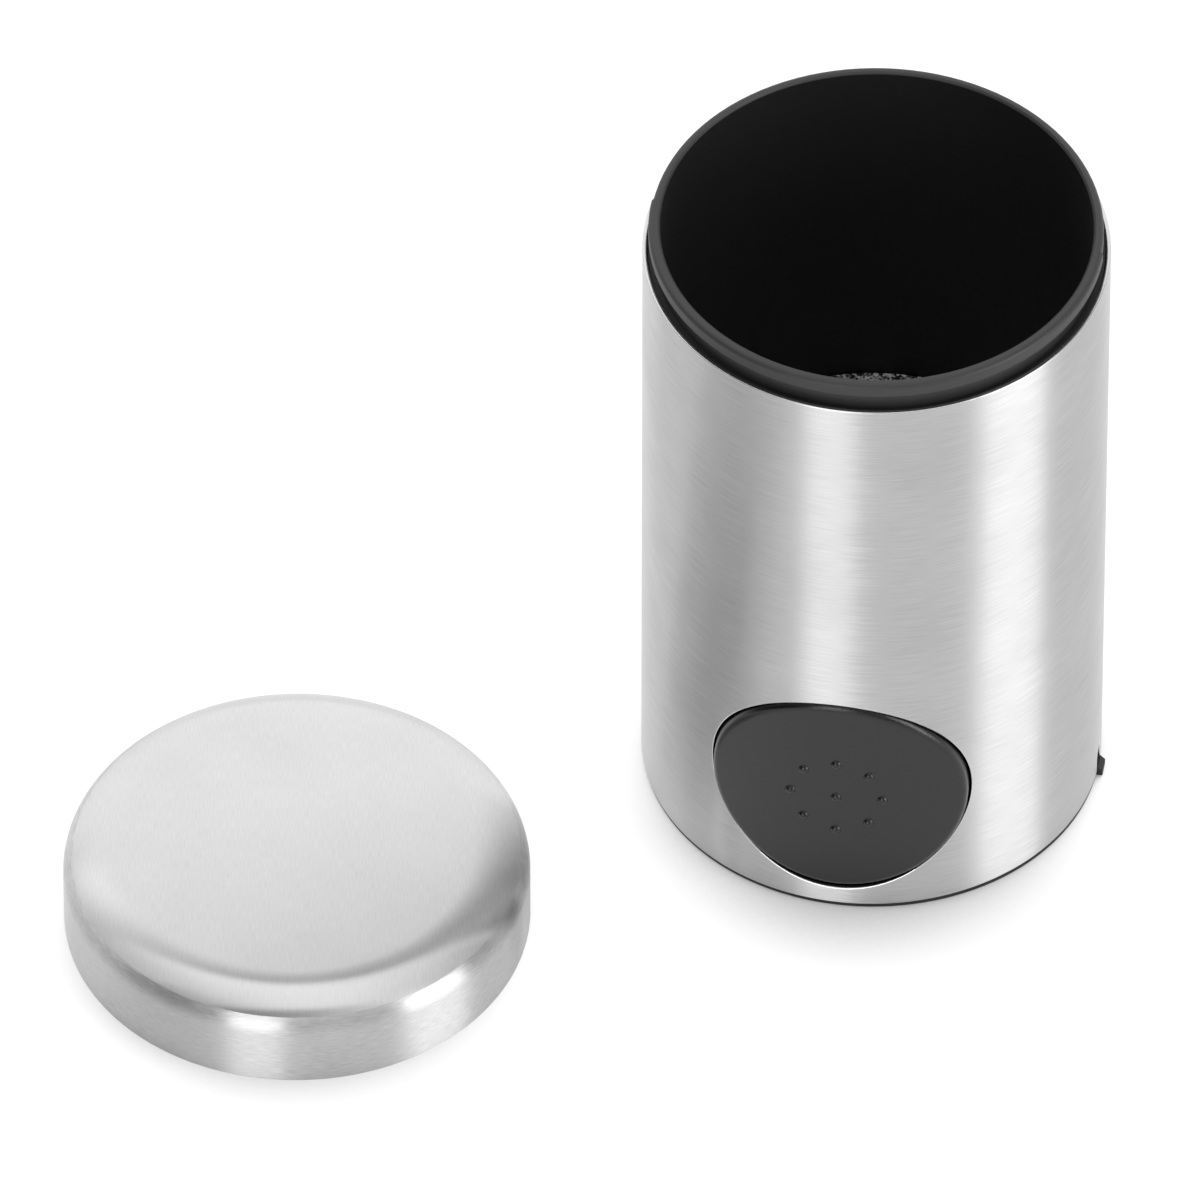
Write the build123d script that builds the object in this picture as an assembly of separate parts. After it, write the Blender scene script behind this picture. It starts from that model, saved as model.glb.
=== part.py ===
"""Sweetener tablet dispenser: a brushed steel sleeve over a black moulded liner, a round
thumb button that drives a dosing slide, and a drawn steel cap lying beside it.

Millimetres, +Z up. The origin is the centre of the base plate's underside, on the table.
The button faces -Y, so a press moves it along +Y.
"""
import math
import os

from build123d import *

# Outer sleeve: a steel tube whose bottom edge rests on the base plate's lip
body_diameter = 40.0
sleeve_wall = 0.4
sleeve_edge = 0.1

# Hopper liner: black moulded tube inside the sleeve, with a beaded collar for the cap
liner_clearance = 0.1
liner_wall = 1.0
collar_height = 2.66
bead_height = 1.4
bead_round = 0.45
bead_under_share = 0.6
bead_parting_step = 0.15
groove_depth = 0.5
groove_below_sleeve = 0.5
rim_chamfer = 0.2
ledge_width = 1.1
ledge_height = 1.0
boss_diameter = 5.0
boss_embed = 0.4
boss_height = 6.5
boss_count = 3
boss_first_angle = 90
boss_gap = 0.4

# Feed floor: the dished bottom of the hopper, with the throat that the tablets fall into
hopper_depth = 36.4
floor_over_arch = 0.35
floor_thickness = 1.4
floor_clearance = 0.1
dish_margin = 1.4
dish_depth = 3.0
dish_wall = 1.3
throat_wall = 1.2
throat_clearance = 0.4

# Dosing slide: the tablet's diameter follows from the room that the stroke has in the body
tablet_thickness = 2.2
pocket_clearance = 0.3
pocket_web = 0.6
pocket_cover = 0.4
slide_headroom = 0.6
slide_rail = 1.6
slide_clearance = 0.15
slide_end_gap = 0.3
stop_gap = 0.2
tongue_width = 6.0
tongue_tip_gap = 0.1
tongue_fit = 0.05

# Slide track under the throat, with the chute that leads down to the outlet
track_wall = 1.3
track_floor = 1.3
roof_thickness = 1.2
chute_over_pocket = 0.5
chute_wall = 1.2
outlet_flare = 0.5
ear_diameter = 5.0
ear_height = 3.0
ear_offset = 2.25
ear_boss_height = 5.0

# Thumb button: a hollow round cap with a nearly flat face, set in the sleeve's window
button_diameter = 22.2
button_over_base = 0.93
button_gap = 0.25
button_relief = 0.6
button_face_radius = 28.0
button_wall = 1.5
button_depth = 5.0
button_edge = 0.7
pip_radius = 0.5
pip_rise = 0.32
pip_circle_radius = 4.0
pip_count = 8
stem_radius = 3.8
stem_gap = 0.4
spring_seat_radius = 5.0
spring_seat_height = 0.6

# Return spring: open coil round the button's stem
spring_diameter = 9.0
spring_wire = 0.5
spring_turns = 4
spring_pressed_length = 2.8
spring_flange_radius = 5.3

# Base plate: closes the tube, carries the sleeve and stands on the table
base_thickness = 1.4
base_lip = 0.3
base_lip_inset = 0.1
base_pad_diameter = 5.4
base_pad_height = 1.6
key_width = 1.5
key_top = 0.9
key_reach = 0.45
key_chamfer = 0.4
key_root = 1.5
key_gap = 0.1
key_slot_headroom = 1.85

# Screws
screw_diameter = 1.8
screw_fit = 0.05
screw_tip_gap = 0.3
screw_hole_play = 0.2
screw_head_diameter = 3.8
screw_head_height = 1.2
screw_head_fit = 0.2
screw_drive_width = 0.6
screw_drive_depth = 0.5
track_screw_length = 7.0
base_screw_length = 7.0
base_screw_recess = 1.6

# Cap: one drawn steel shell, lying beside the body as it was put down
cap_over_body = 0.15
cap_wall = 0.4
cap_skirt = 4.85
cap_lower_bend = 3.0
cap_upper_bend = 8.0
cap_bend_change_angle = 38
cap_crown_edge_angle = 4
cap_x = -45.7
cap_y = -28.3

# One overrun serves every cut that has to break through a surface
overrun = 1.0

# Sizes worked out from the values above
body_radius = body_diameter / 2
liner_radius = body_radius - sleeve_wall - liner_clearance
liner_bore = liner_radius - liner_wall
boss_circle = liner_bore - boss_diameter / 2 + boss_embed
pad_top = base_thickness + base_pad_height
base_screw_tip = base_screw_recess + base_screw_length

button_radius = button_diameter / 2
button_height = base_thickness + button_over_base + button_radius
button_face_y = -body_radius
button_axis_y = button_face_y + button_face_radius
button_back_y = button_face_y + button_wall
button_rear_y = button_face_y + button_depth
spring_seat_y = button_back_y + spring_seat_height
tongue_tip_y = button_back_y + tongue_tip_gap

floor_low = button_height + button_radius + button_relief + floor_over_arch
floor_top = floor_low + floor_thickness
rim_z = floor_top + hopper_depth
sleeve_top = rim_z - collar_height
bead_low = rim_z - bead_height
groove_low = sleeve_top - groove_below_sleeve

# The stroke fills the depth from the spring's seat to the boss behind the chute: it is needed
# three times (spring, slide, way to the outlet), and each stroke takes two pocket radii and a
# web. The front half of the pocket and the rear half of the chute take one more radius each.
chute_back = boss_circle - boss_diameter / 2 - boss_gap
track_nose = track_wall + stop_gap + pocket_cover
room = chute_back - chute_wall - spring_seat_y - spring_pressed_length - track_nose
pocket_radius = (room - 3 * pocket_web - chute_over_pocket) / 8
button_travel = 2 * pocket_radius + pocket_web
tablet_radius = pocket_radius - pocket_clearance
throat_radius = tablet_radius + throat_clearance
chute_radius = pocket_radius + chute_over_pocket
outlet_y = chute_back - chute_wall - chute_radius
pocket_y = outlet_y - button_travel
dish_radius = liner_bore - ledge_width - dish_margin - pocket_y

slide_thickness = tablet_thickness + slide_headroom
slide_width = 2 * (pocket_radius + slide_rail)
slide_low = button_height - slide_thickness / 2
slide_top = button_height + slide_thickness / 2
slide_front = pocket_y - pocket_radius - button_travel - pocket_cover
slide_back = pocket_y + pocket_radius + slide_rail

track_front = slide_front - stop_gap - track_wall
track_back = slide_back + button_travel + slide_end_gap + track_wall
track_half_width = slide_width / 2 + slide_clearance + track_wall
channel_low = slide_low - slide_clearance
channel_top = slide_top + slide_clearance
track_low = channel_low - track_floor
roof_top = channel_top + roof_thickness
ear_x = track_half_width + ear_offset
ear_low = channel_top - ear_height
track_screw_tip = ear_low + track_screw_length
stem_end_y = track_front - button_travel - stem_gap


def upright(radius, low, high, x=0, y=0):
    """A vertical round bar from one height to another."""
    return Pos(x, y, (low + high) / 2) * Cylinder(radius, high - low)


def crosswise(radius, front, back):
    """A round bar along Y at the height of the button's axis."""
    return Pos(0, (front + back) / 2, button_height) * Rot(X=90) * Cylinder(radius, back - front)


def block(half_width, front, back, low, high):
    """A bar centred on the plane x = 0, given by its limits along Y and Z."""
    middle = Pos(0, (front + back) / 2, (low + high) / 2)
    return middle * Box(2 * half_width, back - front, high - low)


def turned(points, angle=360):
    """The solid that a closed profile of (radius, height) points sweeps about the Z axis."""
    profile = make_face(Polyline([(r, 0, z) for r, z in points], close=True))
    return revolve(profile, Axis.Z, angle)


def around(count, radius, first_angle):
    """Evenly spaced (x, y) places on a circle about the Z axis."""
    for index in range(count):
        angle = math.radians(first_angle + 360 / count * index)
        yield radius * math.cos(angle), radius * math.sin(angle)


def key_slot():
    """Round-topped cutter for the key: a slot through the wall at +X, open at the bottom."""
    width = key_width + 2 * key_gap
    straight_top = key_top + key_slot_headroom - width / 2
    height = straight_top + overrun
    reach = body_radius + overrun
    slot = Pos(reach / 2, 0, straight_top - height / 2) * Box(reach, width, height)
    return slot + Pos(reach / 2, 0, straight_top) * Rot(Y=90) * Cylinder(width / 2, reach)


def make_sleeve():
    """Steel tube with the button's round window and a slot for the key in its lower edge."""
    tube = upright(body_radius, base_lip, sleeve_top)
    tube = chamfer(tube.edges().group_by(Axis.Z)[-1], sleeve_edge)
    tube -= upright(body_radius - sleeve_wall, 0, sleeve_top + overrun)
    tube -= crosswise(button_radius + button_gap, -body_radius - overrun, 0)
    return tube - key_slot()


def collar_half(bead_radius):
    """Half of the collar: the groove that the cap's edge clears, and the bead that it grips."""
    groove_radius = liner_radius - groove_depth
    half = turned([
        (liner_bore, groove_low),
        (groove_radius, groove_low),
        (groove_radius, bead_low),
        (bead_radius, bead_low),
        (bead_radius, rim_z),
        (liner_bore + rim_chamfer, rim_z),
        (liner_bore, rim_z - rim_chamfer),
    ], 180)
    overhang = bead_radius - groove_radius
    rims = half.edges().filter_by(GeomType.CIRCLE)
    upper = rims.group_by(Axis.Z)[-1].sort_by(SortBy.RADIUS)[-1]
    half = fillet(upper, bead_round)
    rims = half.edges().filter_by(GeomType.CIRCLE)
    under = [edge for edge in rims if math.isclose(edge.center().Z, bead_low)]
    return fillet(ShapeList(under).sort_by(SortBy.RADIUS)[-1], bead_under_share * overhang)


def make_liner():
    """Moulded tube: collar on top, ledge for the floor, arch for the button, bosses for screws.

    The collar's two halves differ by the step of the mould's parting line, at the sides.
    """
    ledge_low = floor_low - ledge_height
    tube = turned([
        (liner_radius, base_thickness),
        (liner_radius, groove_low),
        (liner_bore, groove_low),
        (liner_bore, floor_low),
        (liner_bore - ledge_width, floor_low),
        (liner_bore - ledge_width, ledge_low),
        (liner_bore, ledge_low - ledge_width),
        (liner_bore, base_thickness),
    ])
    tube += collar_half(liner_radius - bead_parting_step)
    tube += Rot(Z=180) * collar_half(liner_radius)
    arch_radius = button_radius + button_relief
    tube -= crosswise(arch_radius, -body_radius, 0)
    tube -= block(arch_radius, -body_radius, 0, 0, button_height)
    for x, y in around(boss_count, boss_circle, boss_first_angle):
        tube += upright(boss_diameter / 2, pad_top, pad_top + boss_height, x, y)
        tube -= upright(screw_diameter / 2 + screw_fit, 0, base_screw_tip + screw_tip_gap, x, y)
    return tube - key_slot()


def spring_flange():
    """Round plate at the front of the track that the spring pushes against."""
    return crosswise(spring_flange_radius, track_front, track_front + track_wall)


def make_floor():
    """Dished hopper floor with its throat, the roof of the slide's channel and two screw bosses."""
    throat_outer = throat_radius + throat_wall
    dish_low = floor_top - dish_depth
    disc = upright(liner_bore - floor_clearance, floor_low, floor_top)
    funnel = turned([
        (0, channel_top),
        (throat_outer, channel_top),
        (throat_outer, dish_low - dish_wall),
        (dish_radius, floor_low),
        (dish_radius, floor_top),
        (0, floor_top),
    ])
    bowl = turned([
        (0, 0),
        (throat_radius, 0),
        (throat_radius, dish_low),
        (dish_radius, floor_top),
        (dish_radius, floor_top + overrun),
        (0, floor_top + overrun),
    ])
    roof = block(track_half_width, track_front, track_back, channel_top, roof_top)
    roof += spring_flange() & block(body_radius, -body_radius, body_radius, channel_top, floor_low)
    for side in (-1, 1):
        roof += upright(ear_diameter / 2, channel_top, channel_top + ear_boss_height, side * ear_x, pocket_y)
    floor = disc + Pos(0, pocket_y, 0) * funnel + roof
    floor -= Pos(0, pocket_y, 0) * bowl
    pilot_top = track_screw_tip + screw_tip_gap
    for side in (-1, 1):
        floor -= upright(screw_diameter / 2 + screw_fit, 0, pilot_top, side * ear_x, pocket_y)
    return floor


def make_track():
    """Channel that guides the dosing slide, with screw ears and the chute down to the outlet."""
    channel_half = slide_width / 2 + slide_clearance
    channel_front = track_front + track_wall
    channel_back = track_back - track_wall
    track = block(track_half_width, track_front, track_back, track_low, channel_top)
    track += spring_flange() & block(body_radius, -body_radius, body_radius, 0, channel_top)
    track += upright(chute_radius + chute_wall, base_thickness, track_low, 0, outlet_y)
    for side in (-1, 1):
        track += upright(ear_diameter / 2, ear_low, channel_top, side * ear_x, pocket_y)
    track -= block(channel_half, channel_front, channel_back, channel_low, channel_top + overrun)
    mouth_half = tongue_width / 2 + slide_clearance
    track -= block(mouth_half, track_front - overrun, channel_front, channel_low, channel_top + overrun)
    track -= upright(chute_radius, 0, channel_low, 0, outlet_y)
    for side in (-1, 1):
        hole_radius = screw_diameter / 2 + screw_hole_play
        track -= upright(hole_radius, 0, channel_top + overrun, side * ear_x, pocket_y)
    return track


def make_slide():
    """Dosing slide: a plate with a pocket for one tablet, and a tongue that carries the button."""
    plate = block(slide_width / 2, slide_front, slide_back, slide_low, slide_top)
    plate += block(tongue_width / 2, tongue_tip_y, slide_front, slide_low, slide_top)
    return plate - upright(pocket_radius, 0, floor_low, 0, pocket_y)


def make_button():
    """Hollow round cap with a gently curved face, nine grip pips, a stem and a spring seat."""
    front = button_face_y - overrun
    low = button_height - button_radius - overrun
    high = button_height + button_radius + overrun
    face = upright(button_face_radius, low, high, 0, button_axis_y)
    inner_face = upright(button_face_radius - button_wall, low, high, 0, button_axis_y)
    cap = crosswise(button_radius, front, button_rear_y) & face
    cap = fillet(cap.edges().sort_by(Axis.Y)[0], button_edge)
    cap -= crosswise(button_radius - button_wall, front, button_rear_y + overrun) & inner_face
    root_y = button_face_y + button_wall / 2
    cap += crosswise(spring_seat_radius, root_y, spring_seat_y)
    cap += crosswise(stem_radius, root_y, stem_end_y)
    socket_half = tongue_width / 2 + tongue_fit
    cap -= block(socket_half, button_back_y, stem_end_y + overrun, slide_low - tongue_fit, slide_top + tongue_fit)
    places = [(0, 0)] + list(around(pip_count, pip_circle_radius, 0))
    for x, z in places:
        face_y = button_axis_y - math.sqrt(button_face_radius ** 2 - x ** 2)
        cap += Pos(x, face_y + pip_radius - pip_rise, button_height + z) * Sphere(pip_radius)
    return cap


def spring_path():
    """Centre line of the coil, about the button's axis: a helix drawn as two arcs to each half turn.

    Each pair of arcs keeps the helix's own direction at its ends, so the wire has no kinks.
    """
    coil_radius = (spring_diameter - spring_wire) / 2
    first_y = spring_seat_y + spring_wire / 2
    last_y = track_front - spring_wire / 2
    climb = (last_y - first_y) / (2 * math.pi * spring_turns)

    def place(angle):
        return Vector(
            coil_radius * math.cos(angle),
            first_y + climb * angle,
            button_height + coil_radius * math.sin(angle),
        )

    def heading(angle):
        return Vector(-coil_radius * math.sin(angle), climb, coil_radius * math.cos(angle)).normalized()

    arcs = []
    for half_turn in range(2 * spring_turns):
        start = math.pi * half_turn
        end = start + math.pi
        span = place(end) - place(start)
        both = heading(start) + heading(end)
        # Reach of the two end tangents that lets the arcs meet in one common direction
        a = 2 * (1 - heading(start).dot(heading(end)))
        b = span.dot(both)
        reach = (-b + math.sqrt(b * b + a * span.dot(span))) / a
        first_corner = place(start) + heading(start) * reach
        last_corner = place(end) - heading(end) * reach
        meeting = (first_corner + last_corner) / 2
        arcs.append(TangentArc(place(start), meeting, tangent=heading(start)))
        arcs.append(TangentArc(meeting, place(end), tangent=last_corner - first_corner))
    return Wire([edge for arc in arcs for edge in arc.edges()])


def make_spring():
    """Round wire swept along the coil's centre line."""
    path = spring_path()
    section = Plane(path @ 0, z_dir=path % 0) * Circle(spring_wire / 2)
    pitch = (path.position_at(1).Y - path.position_at(0).Y) / spring_turns
    print("least gap between the spring's turns:", round(pitch - spring_wire, 3))
    return sweep(section, path)


def make_base():
    """Base plate: foot lip under the sleeve, outlet, a key at one side and pads for the screws."""
    plate = turned([
        (0, 0),
        (body_radius - base_lip_inset, 0),
        (body_radius - base_lip_inset, base_lip),
        (liner_radius, base_lip),
        (liner_radius, base_thickness),
        (0, base_thickness),
    ])
    inside_liner = upright(liner_bore - floor_clearance, 0, pad_top)
    for x, y in around(boss_count, boss_circle, boss_first_angle):
        plate += upright(base_pad_diameter / 2, base_thickness / 2, pad_top, x, y) & inside_liner
    key_end = body_radius + key_reach
    key_start = liner_radius - key_root
    key = Pos((key_start + key_end) / 2, 0, key_top / 2)
    key *= Box(key_end - key_start, key_width, key_top)
    top_edges = key.edges().group_by(Axis.Z)[-1]
    key = chamfer(top_edges.sort_by(Axis.X)[-1], key_chamfer)
    plate += key
    plate -= upright(chute_radius, -overrun, base_thickness + overrun, 0, outlet_y)
    plate -= Pos(0, outlet_y, 0) * turned([
        (0, 0),
        (chute_radius + outlet_flare, 0),
        (chute_radius, outlet_flare),
        (0, outlet_flare),
    ])
    for x, y in around(boss_count, boss_circle, boss_first_angle):
        plate -= upright(screw_diameter / 2 + screw_hole_play, 0, pad_top + overrun, x, y)
        plate -= upright(screw_head_diameter / 2 + screw_head_fit, -overrun, base_screw_recess, x, y)
    return plate


def make_screw(length):
    """Pan-head screw pointing up, with its head's bearing face at z = 0 and a cross recess below."""
    head = upright(screw_head_diameter / 2, -screw_head_height, 0)
    screw = head + upright(screw_diameter / 2, -screw_head_height / 2, length)
    arm = screw_head_diameter / 2 - screw_drive_width
    recess_top = screw_drive_depth - screw_head_height
    for turn in (0, 90):
        arm_block = block(arm, -screw_drive_width / 2, screw_drive_width / 2, -screw_head_height, recess_top)
        screw -= Rot(Z=turn) * arm_block
    return screw


def make_track_screws():
    """The two screws that hold the track up against the floor."""
    screw = make_screw(track_screw_length)
    return [Pos(side * ear_x, pocket_y, ear_low) * screw for side in (-1, 1)]


def make_base_screws():
    """The screws that hold the base plate to the liner's bosses."""
    screw = make_screw(base_screw_length)
    places = around(boss_count, boss_circle, boss_first_angle)
    return [Pos(x, y, base_screw_recess) * screw for x, y in places]


def make_cap():
    """Drawn steel cap: straight skirt, a shoulder of two bends and a slightly crowned top."""
    radius = body_radius + cap_over_body
    change = math.radians(cap_bend_change_angle)
    edge = math.radians(cap_crown_edge_angle)
    upright_wall = math.pi / 2

    def leaning(tilt):
        """Unit vector that leans outwards from upright by an angle."""
        return Vector(math.sin(tilt), 0, math.cos(tilt))

    lower = Vector(radius - cap_lower_bend, 0, cap_skirt)
    upper = lower + leaning(change) * (cap_lower_bend - cap_upper_bend)
    crown_radius = cap_upper_bend + upper.X / math.sin(edge)
    crown = upper + leaning(edge) * (cap_upper_bend - crown_radius)

    def wall_line(inset):
        """Skirt and arcs of one wall, from the foot to the middle of the top."""
        bends = [
            (lower, cap_lower_bend - inset, upright_wall, change),
            (upper, cap_upper_bend - inset, change, edge),
            (crown, crown_radius - inset, edge, 0),
        ]
        foot = Vector(radius - inset, 0, 0)
        lines = [Line(foot, lower + leaning(upright_wall) * (cap_lower_bend - inset))]
        for centre, bend, first, last in bends:
            ends = [centre + leaning(tilt) * bend for tilt in (first, (first + last) / 2, last)]
            lines.append(ThreePointArc(*ends))
        return lines

    outer = wall_line(0)
    inner = wall_line(cap_wall)
    joins = [Line(outer[0] @ 0, inner[0] @ 0), Line(outer[-1] @ 1, inner[-1] @ 1)]
    return Pos(cap_x, cap_y, 0) * revolve(make_face(outer + inner + joins), Axis.Z)


parts = {
    "outer_sleeve": make_sleeve(),
    "hopper_liner": make_liner(),
    "feed_floor": make_floor(),
    "slide_track": make_track(),
    "track_screws": make_track_screws(),
    "base_plate": make_base(),
    "base_screws": make_base_screws(),
    "thumb_button": make_button(),
    "dosing_slide": make_slide(),
    "return_spring": make_spring(),
    "lid_cap": make_cap(),
}

os.makedirs("parts", exist_ok=True)
for name, shape in parts.items():
    solid = Compound(children=shape) if isinstance(shape, list) else shape
    export_step(solid, f"parts/{name}.step")
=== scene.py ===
"""Sweetener tablet dispenser, dressed for rendering: brushed steel sleeve and cap, black moulded
liner, charcoal thumb button. Metres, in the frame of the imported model, button towards -Y."""
import math

import bmesh
import bpy
from mathutils import Matrix, Vector


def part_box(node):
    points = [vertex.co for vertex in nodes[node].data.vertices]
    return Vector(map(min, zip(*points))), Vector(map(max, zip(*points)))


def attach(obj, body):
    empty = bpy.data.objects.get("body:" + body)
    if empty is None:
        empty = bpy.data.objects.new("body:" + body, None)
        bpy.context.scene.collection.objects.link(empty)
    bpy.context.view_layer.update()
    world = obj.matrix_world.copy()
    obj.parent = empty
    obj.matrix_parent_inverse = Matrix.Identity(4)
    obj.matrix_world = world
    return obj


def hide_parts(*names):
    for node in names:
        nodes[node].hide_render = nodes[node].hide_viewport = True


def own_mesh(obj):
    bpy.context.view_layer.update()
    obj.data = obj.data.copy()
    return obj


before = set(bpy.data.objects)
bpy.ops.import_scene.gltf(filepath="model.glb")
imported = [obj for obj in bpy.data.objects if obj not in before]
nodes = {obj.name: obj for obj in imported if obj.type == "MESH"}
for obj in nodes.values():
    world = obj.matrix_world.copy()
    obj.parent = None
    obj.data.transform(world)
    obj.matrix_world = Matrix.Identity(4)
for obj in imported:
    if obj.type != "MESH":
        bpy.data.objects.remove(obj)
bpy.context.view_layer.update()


# Base plate: the black foot that closes the tube and carries the sleeve on its lip.
# Injection-moulded ABS with a spark-eroded face, held up against the liner by three screws.
# The eroded steel of the mould leaves a fine even grain, so highlights are broad and dull.
mm = 0.001


def linear(hex_code):
    """An sRGB hex colour as linear red, green, blue and alpha."""
    channels = [int(hex_code[i:i + 2], 16) / 255 for i in (1, 3, 5)]
    return [c / 12.92 if c <= 0.04045 else ((c + 0.055) / 1.055) ** 2.4 for c in channels] + [1.0]


def add(tree, kind, inputs=(), **settings):
    """Adds one shader node. inputs maps a socket to its value, or to the output that feeds it."""
    node = tree.nodes.new("ShaderNode" + kind)
    for name, value in settings.items():
        setattr(node, name, value)
    for socket, value in dict(inputs).items():
        if isinstance(value, bpy.types.NodeSocket):
            tree.links.new(value, node.inputs[socket])
        else:
            node.inputs[socket].default_value = value
    return node


def new_material(name):
    """An empty material and its node tree."""
    material = bpy.data.materials.new(name)
    material.use_nodes = True
    material.node_tree.nodes.clear()
    return material, material.node_tree


def moulded_abs(name, dark, pale, roughness, grain, relief, bore=None, pale_tips=False, ior=1.54):
    """Moulded ABS: a grain pressed in by the mould, and flow marks that shift tone and gloss.

    Inside a bore of the given radius the colour is painted near black as shade, and the face is dull.
    Where asked, the tips of the grain are coloured pale, in place of the flow marks.
    """
    flow_mark = 9 * mm
    gloss_drift = 0.05
    # The near-black colour of the bore is painted shade
    bore_shade_black, bore_roughness, bore_blend = linear("#030303"), 0.6, 0.1 * mm
    material, tree = new_material(name)
    place = add(tree, "TexCoord").outputs["Object"]
    flow = add(tree, "TexNoise", {"Vector": place, "Scale": 1 / flow_mark, "Detail": 3.0}).outputs["Fac"]
    bumps = add(tree, "TexNoise", {"Vector": place, "Scale": 1 / grain, "Detail": 2.0}).outputs["Fac"]
    shift = flow
    if pale_tips:
        tips = add(tree, "MapRange", {"Value": bumps, "From Min": 0.45, "From Max": 0.58})
        shift = tips.outputs["Result"]
    tone = add(tree, "Mix", {"Factor": shift, "A": linear(dark), "B": linear(pale)}, data_type="RGBA")
    colour = tone.outputs["Result"]
    gloss = add(tree, "MapRange", {
        "Value": flow,
        "To Min": roughness - gloss_drift,
        "To Max": roughness + gloss_drift,
    })
    shine = gloss.outputs["Result"]
    # Painted shade: inside the bore the colour is painted near black
    if bore:
        level = add(tree, "VectorMath", {0: place, 1: (1, 1, 0)}, operation="MULTIPLY").outputs["Vector"]
        reach = add(tree, "VectorMath", {0: level}, operation="LENGTH").outputs["Value"]
        beyond = add(tree, "MapRange", {"Value": reach, "From Min": bore, "From Max": bore + bore_blend})
        outside = beyond.outputs["Result"]
        bore_shaded = add(tree, "Mix", {"Factor": outside, "A": bore_shade_black, "B": colour}, data_type="RGBA")
        colour = bore_shaded.outputs["Result"]
        dulled = add(tree, "MapRange", {"Value": outside, "To Min": bore_roughness, "To Max": shine})
        shine = dulled.outputs["Result"]
    height = add(tree, "Bump", {"Height": bumps, "Strength": 0.6, "Distance": relief})
    surface = add(tree, "BsdfPrincipled", {
        "Base Color": colour,
        "Roughness": shine,
        "IOR": ior,
        "Normal": height.outputs["Normal"],
    })
    add(tree, "OutputMaterial", {"Surface": surface.outputs["BSDF"]})
    return material


def dress(node, material):
    """Gives a CAD node a finished material."""
    nodes[node].data.materials.clear()
    nodes[node].data.materials.append(material)


foot_black = moulded_abs("Black ABS, spark-eroded", "#101010", "#171717", 0.55, 0.16 * mm, 0.02 * mm)
dress("base_plate", foot_black)


# Hopper liner: the black tube that holds the tablets and carries everything else.
# Moulded ABS, satin on the collar. Inside the bore the colour is painted near black as shade, and the
# face is dull.
liner_bore = 18.5 * mm
liner_black = moulded_abs(
    "Black ABS, satin collar", "#262626", "#2d2d2d", 0.5, 0.22 * mm, 0.012 * mm, bore=liner_bore
)
dress("hopper_liner", liner_black)


# Feed floor: the dished bottom of the hopper, seated on the liner's ledge.
# Black ABS with a coarse grain, so that flat tablets do not cling to it.
# The tips of the grain are coloured pale, which shows as fine pale specks.
floor_black = moulded_abs(
    "Black ABS, coarse grain", "#202020", "#e6e6e6", 0.35, 0.25 * mm, 0.2 * mm, pale_tips=True
)
dress("feed_floor", floor_black)


# Slide track and dosing slide: the moulded channel, and the plate in it that meters one tablet.
# Both are ABS from a mould of plain ground steel, so they are smooth and slip on each other.
inner_black = moulded_abs("Black ABS, ground mould", "#2a2a2a", "#333333", 0.4, 0.1 * mm, 0.005 * mm)
dress("slide_track", inner_black)
dress("dosing_slide", inner_black)


# Screws: two hold the track up against the floor, three hold the base plate to the liner.
# Cold-headed steel wire with a bright zinc plating, which has a faint blue and yellow bloom.
def plated_steel(name, dark, pale, roughness, spots):
    """Smooth metal whose tone and gloss drift a little over spots of the given size."""
    gloss_drift = 0.06
    material, tree = new_material(name)
    place = add(tree, "TexCoord").outputs["Object"]
    drift = add(tree, "TexNoise", {"Vector": place, "Scale": 1 / spots, "Detail": 3.0}).outputs["Fac"]
    tone = add(tree, "Mix", {"Factor": drift, "A": linear(dark), "B": linear(pale)}, data_type="RGBA")
    gloss = add(tree, "MapRange", {
        "Value": drift,
        "To Min": roughness - gloss_drift,
        "To Max": roughness + gloss_drift,
    })
    surface = add(tree, "BsdfPrincipled", {
        "Base Color": tone.outputs["Result"],
        "Metallic": 1.0,
        "Roughness": gloss.outputs["Result"],
    })
    add(tree, "OutputMaterial", {"Surface": surface.outputs["BSDF"]})
    return material


bright_zinc = plated_steel("Steel, bright zinc-plated", "#b4b9c2", "#c9c7bd", 0.28, 0.8 * mm)
dress("track_screws", bright_zinc)
dress("base_screws", bright_zinc)


# Thumb button: charcoal cap in the sleeve's window, with nine grip pips.
# Moulded ABS with an even satin grain, which shows the pale table as a plain charcoal sheen.
# The grain scatters part of the mirror, so its index of refraction is set a little low.
button_charcoal = moulded_abs(
    "Charcoal ABS, satin", "#0c0c0c", "#121212", 0.24, 0.14 * mm, 0.03 * mm, ior=1.49
)
dress("thumb_button", button_charcoal)


# Return spring: open coil of drawn wire round the button's stem, seated in the track's flange.
# The die leaves the wire bright and smooth.
spring_low, spring_high = [Vector(corner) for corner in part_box("return_spring")]
wire_radius = 0.25 * mm
spring_turns = 4
steps_per_turn = 40
coil_radius = (spring_high.x - spring_low.x) / 2 - wire_radius
coil_height = (spring_high.z + spring_low.z) / 2
coil_length = spring_high.y - spring_low.y - 2 * wire_radius


def make_object(name, bm, *materials):
    """A new object at the origin from a bmesh, smooth but where materials meet or an edge is sharp."""
    for edge in bm.edges:
        alike = len({face.material_index for face in edge.link_faces}) == 1
        edge.smooth = alike and edge.calc_face_angle(math.pi) < math.radians(35)
    for face in bm.faces:
        face.smooth = True
    mesh = bpy.data.meshes.new(name)
    bm.to_mesh(mesh)
    bm.free()
    for material in materials:
        mesh.materials.append(material)
    made = bpy.data.objects.new(name, mesh)
    bpy.context.collection.objects.link(made)
    return made


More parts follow.
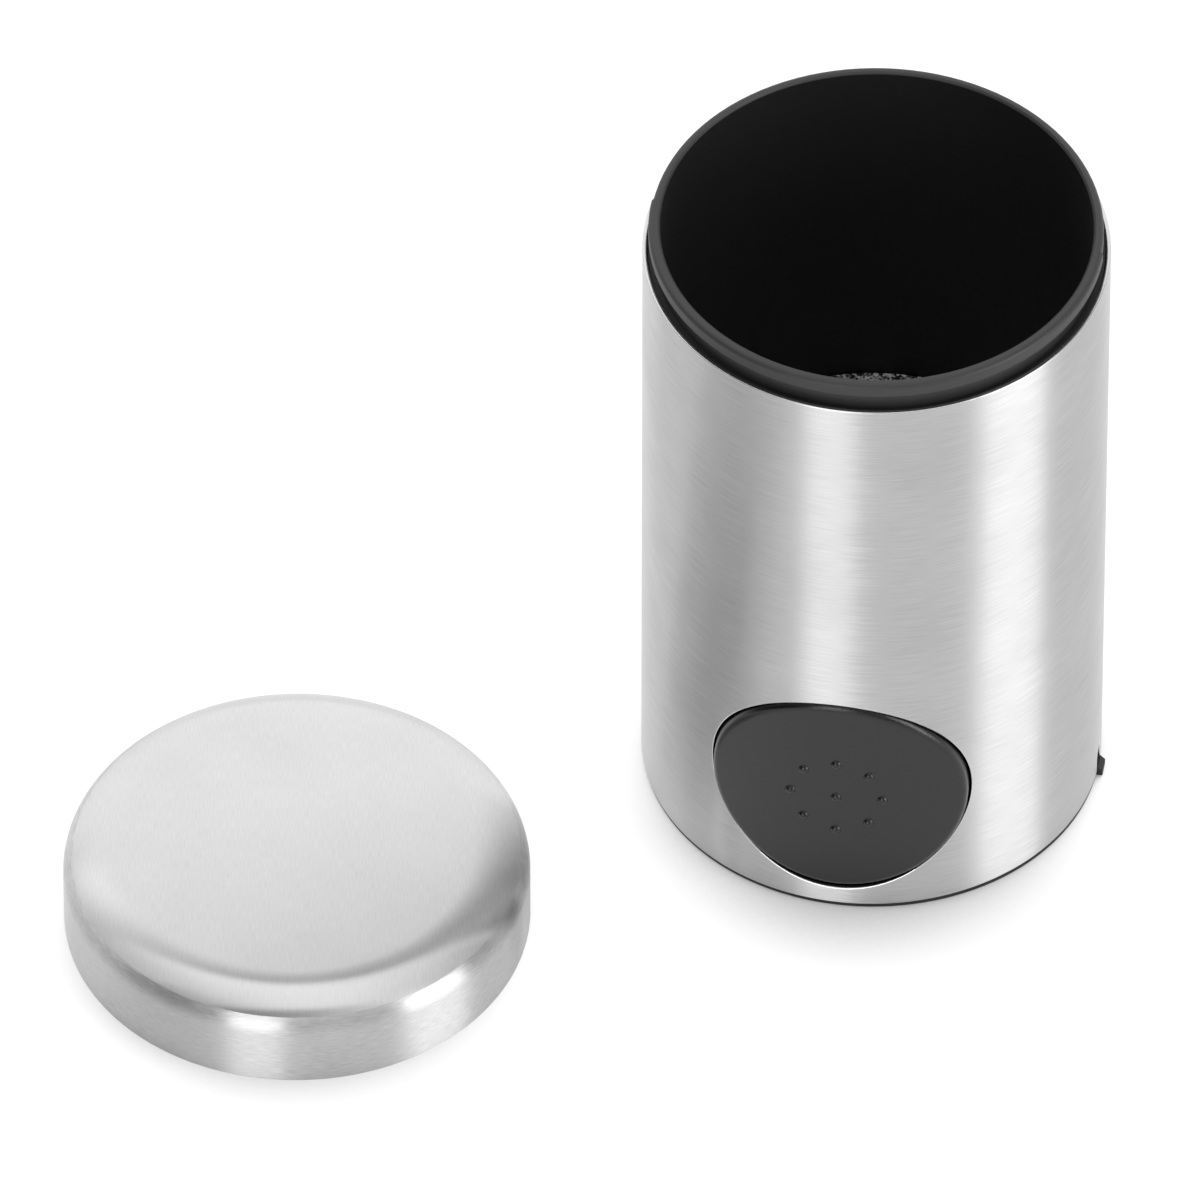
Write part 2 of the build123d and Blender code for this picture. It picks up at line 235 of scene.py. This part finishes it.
bm = bmesh.new()
start = Matrix.Translation((coil_radius, spring_low.y + wire_radius, coil_height))
bmesh.ops.create_circle(bm, cap_ends=False, segments=12, radius=wire_radius, matrix=start)
climb = coil_length / (spring_turns * steps_per_turn)
bmesh.ops.spin(
    bm, geom=bm.edges[:], cent=(0, 0, coil_height), axis=(0, -1, 0), dvec=(0, climb, 0),
    angle=spring_turns * math.tau, steps=spring_turns * steps_per_turn,
)
bmesh.ops.holes_fill(bm, edges=[edge for edge in bm.edges if edge.is_boundary])
bmesh.ops.recalc_face_normals(bm, faces=bm.faces[:])
drawn_wire = plated_steel("Spring steel, drawn wire", "#9b9a96", "#b3b2ae", 0.25, 0.5 * mm)
spring = make_object("spring_coil", bm, drawn_wire)
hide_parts("return_spring")
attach(spring, "dispenser")
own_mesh(spring)


# Outer sleeve: thin stainless tube, cut to length, with the button's window punched through it.
# Brushed round its girth by a belt while it turned, then set over the liner from above.
# The strokes spread a reflection up and down, so lamps show as upright bands.
sleeve_low, sleeve_high = [Vector(corner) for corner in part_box("outer_sleeve")]
button_low, button_high = [Vector(corner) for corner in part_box("thumb_button")]
sleeve_radius = sleeve_high.x
sleeve_wall = 0.4 * mm
sleeve_edge = 0.1 * mm
cut_slant = 0.2 * mm
cut_rise = Vector((0.94, 0.34, 0))
window_height = (button_low.z + button_high.z) / 2
window_gap = 0.16 * mm
window_radius = (button_high.z - button_low.z) / 2 + window_gap
window_edge = 0.13 * mm
key_slot_width = 1.7 * mm
key_slot_top = 2.75 * mm
weld = 0.005 * mm


def brushed_steel(name, dark, pale, roughness, stroke_width, stroke_length):
    """Brushed stainless steel on a UV map in metres, with u across the strokes and v along them.

    Each stroke strays a little from the line of the brush, so that highlights have ragged ends.
    Real strokes are finer: they are drawn about a pixel wide, so that they show.
    """
    stray = 0.012
    scratch_depth = 0.01 * mm
    smudge, smudge_share = 7 * mm, 0.3
    gloss_drift = 0.06
    material, tree = new_material(name)
    grain = add(tree, "UVMap", uv_map="grain").outputs["UV"]
    along = add(tree, "Mapping", {"Vector": grain, "Scale": (1 / stroke_width, 1 / stroke_length, 1)})
    strokes = add(tree, "TexNoise", {"Vector": along.outputs["Vector"], "Scale": 1.0, "Detail": 4.0})
    height = strokes.outputs["Fac"]
    place = add(tree, "TexCoord").outputs["Object"]
    smudges = add(tree, "TexNoise", {"Vector": place, "Scale": 1 / smudge, "Detail": 2.0})
    wear = add(tree, "Mix", {"Factor": smudge_share, "A": height, "B": smudges.outputs["Fac"]})
    tone = add(tree, "Mix", {
        "Factor": wear.outputs["Result"],
        "A": linear(dark),
        "B": linear(pale),
    }, data_type="RGBA")
    gloss = add(tree, "MapRange", {
        "Value": wear.outputs["Result"],
        "To Min": roughness - gloss_drift,
        "To Max": roughness + gloss_drift,
    })
    lean = add(tree, "MapRange", {"Value": height, "To Min": -stray, "To Max": stray})
    scratches = add(tree, "Bump", {"Height": height, "Strength": 0.15, "Distance": scratch_depth})
    tangent = add(tree, "Tangent", direction_type="UV_MAP", uv_map="grain")
    surface = add(tree, "BsdfPrincipled", {
        "Base Color": tone.outputs["Result"],
        "Metallic": 1.0,
        "Roughness": gloss.outputs["Result"],
        "Anisotropic": 1.0,
        "Anisotropic Rotation": lean.outputs["Result"],
        "Normal": scratches.outputs["Normal"],
        "Tangent": tangent.outputs["Tangent"],
    })
    add(tree, "OutputMaterial", {"Surface": surface.outputs["BSDF"]})
    return material


def brush_round(bm, faces, centre, radius):
    """Lays strokes round an upright axis: u is the height, v the way round."""
    grain = bm.loops.layers.uv.verify()
    for face in faces:
        middle = face.calc_center_median() - centre
        start = math.atan2(middle.x, -middle.y)
        for loop in face.loops:
            arm = loop.vert.co - centre
            turn = math.atan2(arm.x, -arm.y) - start
            turn -= math.tau * round(turn / math.tau)
            loop[grain].uv = (loop.vert.co.z, (start + turn) * radius)


bm = bmesh.new()
inner = sleeve_radius - sleeve_wall
corners = [
    (inner, 0, sleeve_low.z),
    (sleeve_radius, 0, sleeve_low.z),
    (sleeve_radius, 0, sleeve_high.z),
    (inner, 0, sleeve_high.z),
]
bm.faces.new([bm.verts.new(corner) for corner in corners])
bmesh.ops.bevel(
    bm, geom=bm.verts[:], offset=sleeve_edge, segments=3, profile=0.5, affect="VERTICES", material=-1,
)
bmesh.ops.delete(bm, geom=bm.faces[:], context="FACES_ONLY")
bmesh.ops.spin(bm, geom=bm.edges[:], axis=(0, 0, 1), angle=math.tau, steps=360, use_merge=True)
bmesh.ops.recalc_face_normals(bm, faces=bm.faces[:])
# The lower end is cut a touch out of square, so more of the base shows at the right
for vert in bm.verts:
    if vert.co.z < window_height:
        vert.co.z += cut_slant * (1 + vert.co.dot(cut_rise) / sleeve_radius) / 2
tube = make_object("sleeve_tube", bm)

bm = bmesh.new()
facing = Matrix.Translation((0, -sleeve_radius, window_height)) @ Matrix.Rotation(math.pi / 2, 4, "X")
bmesh.ops.create_cone(
    bm, cap_ends=True, segments=192, radius1=window_radius, radius2=window_radius, depth=sleeve_radius,
    matrix=facing,
)
window_cutter = make_object("window_cutter", bm)

bm = bmesh.new()
slot_place = Matrix.Translation((sleeve_radius, 0, 0))
slot_size = Matrix.Diagonal((sleeve_radius, key_slot_width, 2 * key_slot_top, 1))
bmesh.ops.create_cube(bm, size=1, matrix=slot_place @ slot_size)
top_edges = [edge for edge in bm.edges if min(v.co.z for v in edge.verts) > 0]
arch = [edge for edge in top_edges if edge.verts[0].co.y * edge.verts[1].co.y > 0]
# A hair under half the width, so that the two rounds do not meet in a folded edge
arch_round = 0.48 * key_slot_width
bmesh.ops.bevel(bm, geom=arch, offset=arch_round, segments=10, profile=0.5, affect="EDGES", material=-1)
slot_cutter = make_object("slot_cutter", bm)

for cutter in (window_cutter, slot_cutter):
    cut = tube.modifiers.new(cutter.name, "BOOLEAN")
    cut.operation = "DIFFERENCE"
    cut.object = cutter
bm = bmesh.new()
bm.from_object(tube, bpy.context.evaluated_depsgraph_get())
for tool in (tube, window_cutter, slot_cutter):
    bpy.data.objects.remove(tool)
bmesh.ops.remove_doubles(bm, verts=bm.verts, dist=weld)
punched = [
    edge for edge in bm.edges
    if edge.calc_face_angle(0) > math.radians(40)
    and all(vert.co.xy.length > sleeve_radius - sleeve_edge / 2 for vert in edge.verts)
]
bmesh.ops.bevel(
    bm, geom=punched, offset=window_edge, segments=3, profile=0.5, affect="EDGES", material=-1,
    clamp_overlap=False,
)
bmesh.ops.remove_doubles(bm, verts=bm.verts, dist=weld)
brush_round(bm, bm.faces, Vector((0, 0, 0)), sleeve_radius)
# The walls are brushed, and the cut edges are deburred
for face in bm.faces:
    outwards = Vector((*face.calc_center_median().xy, 0)).normalized()
    face.material_index = 0 if abs(face.normal.dot(outwards)) > 0.99 else 1
sleeve_steel = brushed_steel(
    "Stainless steel, belt-brushed round", "#a8a8a8", "#ebebeb", 0.39, 0.09 * mm, 4 * mm
)
deburred_steel = plated_steel("Stainless steel, deburred edge", "#c6c6c6", "#d2d2d2", 0.25, 0.3 * mm)
sleeve = make_object("steel_sleeve", bm, sleeve_steel, deburred_steel)
sleeve.data.uv_layers[0].name = "grain"
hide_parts("outer_sleeve")
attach(sleeve, "dispenser")


# Lid cap: one shell drawn from stainless sheet, put down beside the body.
# Brushed straight across the top and shoulder, then round the skirt on a turning belt.
# The two directions of stroke meet in a crisp line on the shoulder.
cap_low, cap_high = [Vector(corner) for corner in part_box("lid_cap")]
cap_centre = (cap_low + cap_high) / 2
cap_radius = (cap_high.x - cap_low.x) / 2
cap_wall = 0.4 * mm
cap_skirt = 5.3 * mm
cap_lower_bend = 2 * mm
cap_upper_bend = 8 * mm
bend_change = math.radians(36)
crown_edge = math.radians(4)
cap_stroke_turn = math.radians(9)


def leaning(tilt):
    """Unit vector that leans outwards from upright by an angle, in the section's plane."""
    return Vector((math.sin(tilt), 0, math.cos(tilt)))


bm = bmesh.new()
foot = bm.verts.new((cap_radius, 0, 0))
skirt_top = bmesh.ops.extrude_vert_indiv(bm, verts=[foot])["verts"][0]
skirt_top.co.z = cap_skirt
bends = [
    (cap_lower_bend, math.pi / 2, bend_change, 16),
    (cap_upper_bend, bend_change, crown_edge, 24),
]
end = skirt_top
for radius, first, last, steps in bends:
    middle = end.co - radius * leaning(first)
    turn = first - last
    arc = bmesh.ops.spin(bm, geom=[end], cent=middle, axis=(0, -1, 0), angle=turn, steps=steps)
    end = arc["geom_last"][0]
crown_radius = end.co.x / math.sin(crown_edge)
middle = end.co - crown_radius * leaning(crown_edge)
bmesh.ops.spin(bm, geom=[end], cent=middle, axis=(0, -1, 0), angle=crown_edge, steps=20)
bmesh.ops.spin(bm, geom=bm.edges[:], axis=(0, 0, 1), angle=math.tau, steps=256, use_merge=True)
bmesh.ops.remove_doubles(bm, verts=bm.verts, dist=weld / 5)
bmesh.ops.recalc_face_normals(bm, faces=bm.faces[:])
bmesh.ops.translate(bm, verts=bm.verts, vec=(cap_centre.x, cap_centre.y, 0))
round_top = cap_skirt + cap_lower_bend * math.cos(bend_change)
skirt_faces = [face for face in bm.faces if face.calc_center_median().z < round_top]
top_faces = [face for face in bm.faces if face.calc_center_median().z > round_top]
brush_round(bm, skirt_faces, cap_centre, cap_radius)
for face in skirt_faces:
    face.material_index = 1
grain = bm.loops.layers.uv.verify()
across = Vector((math.cos(cap_stroke_turn), math.sin(cap_stroke_turn)))
for face in top_faces:
    for loop in face.loops:
        flat = (loop.vert.co - cap_centre).xy
        loop[grain].uv = (flat.dot(across), across.cross(flat))
bmesh.ops.solidify(bm, geom=bm.faces[:], thickness=cap_wall)
top_steel = brushed_steel(
    "Stainless steel, brushed straight", "#bababa", "#e2e2e2", 0.32, 0.08 * mm, 1.2 * mm
)
skirt_steel = brushed_steel(
    "Stainless steel, skirt brushed round", "#9a9a9a", "#f0f0f0", 0.38, 0.1 * mm, 1.2 * mm
)
cap = make_object("steel_cap", bm, top_steel, skirt_steel)
cap.data.uv_layers[0].name = "grain"
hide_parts("lid_cap")
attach(cap, "cap")


# Studio: a white paper sweep under a dim dome, lit by large softboxes all round.
# The paper shows pure white to the lens and in the steel, and keeps a soft contact shadow, partly real
# and partly painted into its glow.
# The dome is dark at the left. Behind, the sweep rises to an edge that slants down to the right.
camera_azimuth = math.radians(9.53)
camera_elevation = math.radians(45.63)
camera_distance = 2.285
camera_aim = Vector((-25.63, 5.19, 9.15)) * mm
image_width = 1181
focal_pixels = 26280
paper_drop = 0.02 * mm
shadow_reach = 16 * mm
sweep_up = (0.59, 0.1, 1)
sweep_level = 1.32


def towards(azimuth, elevation):
    """Unit vector from the object: azimuth 0 is the button's side, 90 degrees the right."""
    level = math.cos(elevation)
    return Vector((math.sin(azimuth) * level, -math.cos(azimuth) * level, math.sin(elevation)))


bm = bmesh.new()
# A hair under the base, so that the two do not lie in one plane
paper_place = Matrix.Translation((0, 0, -paper_drop))
bmesh.ops.create_grid(bm, x_segments=1, y_segments=1, size=3, matrix=paper_place)
paper, tree = new_material("White paper sweep")
seen = add(tree, "LightPath").outputs
mirrored = add(tree, "Math", {
    0: seen["Is Glossy Ray"],
    1: seen["Is Transmission Ray"],
}, operation="MAXIMUM")
shown = add(tree, "Math", {0: seen["Is Camera Ray"], 1: mirrored.outputs[0]}, operation="MAXIMUM")
# Painted shadow in the glow, standing in for light from behind: ambient occlusion about a normal tipped
# backwards darkens the paper close in front of the object, and it is painted deeper near the body's axis
# than round the low cap
backwards = towards(math.radians(183), math.radians(40))
tilted = add(tree, "CombineXYZ", {"X": backwards.x, "Y": backwards.y, "Z": backwards.z})
open_sky = add(tree, "AmbientOcclusion", {"Distance": shadow_reach, "Normal": tilted.outputs["Vector"]})
place = add(tree, "TexCoord").outputs["Object"]
from_body = add(tree, "VectorMath", {0: place}, operation="LENGTH").outputs["Value"]
painted_shadow_depth = add(tree, "MapRange", {
    "Value": from_body, "From Min": 26 * mm, "From Max": 33 * mm, "To Min": 0.05, "To Max": 0.3,
})
# Painted shadow: the glow drops where the tilted occlusion is high
painted_shadow_level = add(tree, "MapRange", {
    "Value": open_sky.outputs["AO"], "From Min": 0.25, "From Max": 0.62,
    "To Min": painted_shadow_depth.outputs["Result"], "To Max": 0.65,
})
glow = add(tree, "Math", {0: shown.outputs[0], 1: painted_shadow_level.outputs["Result"]}, operation="MULTIPLY")
surface = add(tree, "BsdfPrincipled", {
    "Base Color": linear("#b6b6b6"),
    "Roughness": 1.0,
    "Specular IOR Level": 0.0,
    "Emission Color": linear("#ffffff"),
    "Emission Strength": glow.outputs[0],
})
add(tree, "OutputMaterial", {"Surface": surface.outputs["BSDF"]})
floor = make_object("paper_floor", bm, paper)

world = bpy.data.worlds.new("Studio dome")
world.use_nodes = True
tree = world.node_tree
tree.nodes.clear()
way = add(tree, "TexCoord").outputs["Generated"]
behind = add(tree, "VectorMath", {0: way, 1: towards(math.radians(200), 0)}, operation="DOT_PRODUCT")
swept = add(tree, "MapRange", {"Value": behind.outputs["Value"], "From Min": 0.25, "From Max": 0.6})
up_sweep = add(tree, "VectorMath", {0: way, 1: sweep_up}, operation="DOT_PRODUCT").outputs["Value"]
low = add(tree, "MapRange", {
    "Value": up_sweep, "From Min": 0.81, "From Max": 0.97, "To Min": 1.0, "To Max": 0.0,
})
rise = add(tree, "SeparateXYZ", {0: way}).outputs["Z"]
ceiling = add(tree, "MapRange", {
    "Value": rise, "From Min": 0.75, "From Max": 0.93, "To Min": 0.5, "To Max": 0.32,
})
white = add(tree, "Math", {0: swept.outputs["Result"], 1: low.outputs["Result"]}, operation="MULTIPLY")
level = add(tree, "MapRange", {
    "Value": white.outputs[0], "To Min": ceiling.outputs["Result"], "To Max": sweep_level,
})
unlit = add(tree, "VectorMath", {0: way, 1: towards(math.radians(-75), 0)}, operation="DOT_PRODUCT")
shade = add(tree, "MapRange", {
    "Value": unlit.outputs["Value"], "From Min": 0.5, "From Max": 0.9, "To Min": 1.0, "To Max": 0.05,
})
power = add(tree, "Math", {0: level.outputs["Result"], 1: shade.outputs["Result"]}, operation="MULTIPLY")
dome = add(tree, "Background", {"Color": linear("#ffffff"), "Strength": power.outputs[0]})
add(tree, "OutputWorld", {"Surface": dome.outputs[0]})
bpy.context.scene.world = world

# Name, azimuth and elevation in degrees, distance, width and height in metres, radiance
softboxes = [
    ("over", 20, 87, 1.5, 1.22, 0.95, 1.5),
    ("left", -101, 40, 1.5, 1.2, 0.95, 0.58),
    ("front", -10, 20, 1.5, 0.58, 1.05, 3.0),
    ("right", 71, 20, 1.5, 0.8, 1.05, 3.9),
]
for name, azimuth, elevation, distance, width, height, radiance in softboxes:
    lamp = bpy.data.lights.new(name + "_softbox", "AREA")
    lamp.shape = "RECTANGLE"
    lamp.size = width
    lamp.size_y = height
    lamp.energy = radiance * math.pi * width * height
    box = bpy.data.objects.new(lamp.name, lamp)
    direction = towards(math.radians(azimuth), math.radians(elevation))
    box.location = direction * distance
    box.rotation_euler = direction.to_track_quat("Z", "Y").to_euler()
    bpy.context.collection.objects.link(box)

lens = bpy.data.cameras.new("product_camera")
lens.lens = focal_pixels / image_width * lens.sensor_width
lens.clip_end = 20
camera = bpy.data.objects.new("product_camera", lens)
view = towards(camera_azimuth, camera_elevation)
camera.location = camera_aim + view * camera_distance
camera.rotation_euler = view.to_track_quat("Z", "Y").to_euler()
bpy.context.collection.objects.link(camera)
bpy.context.scene.camera = camera
bpy.context.scene.view_settings.view_transform = "Standard"
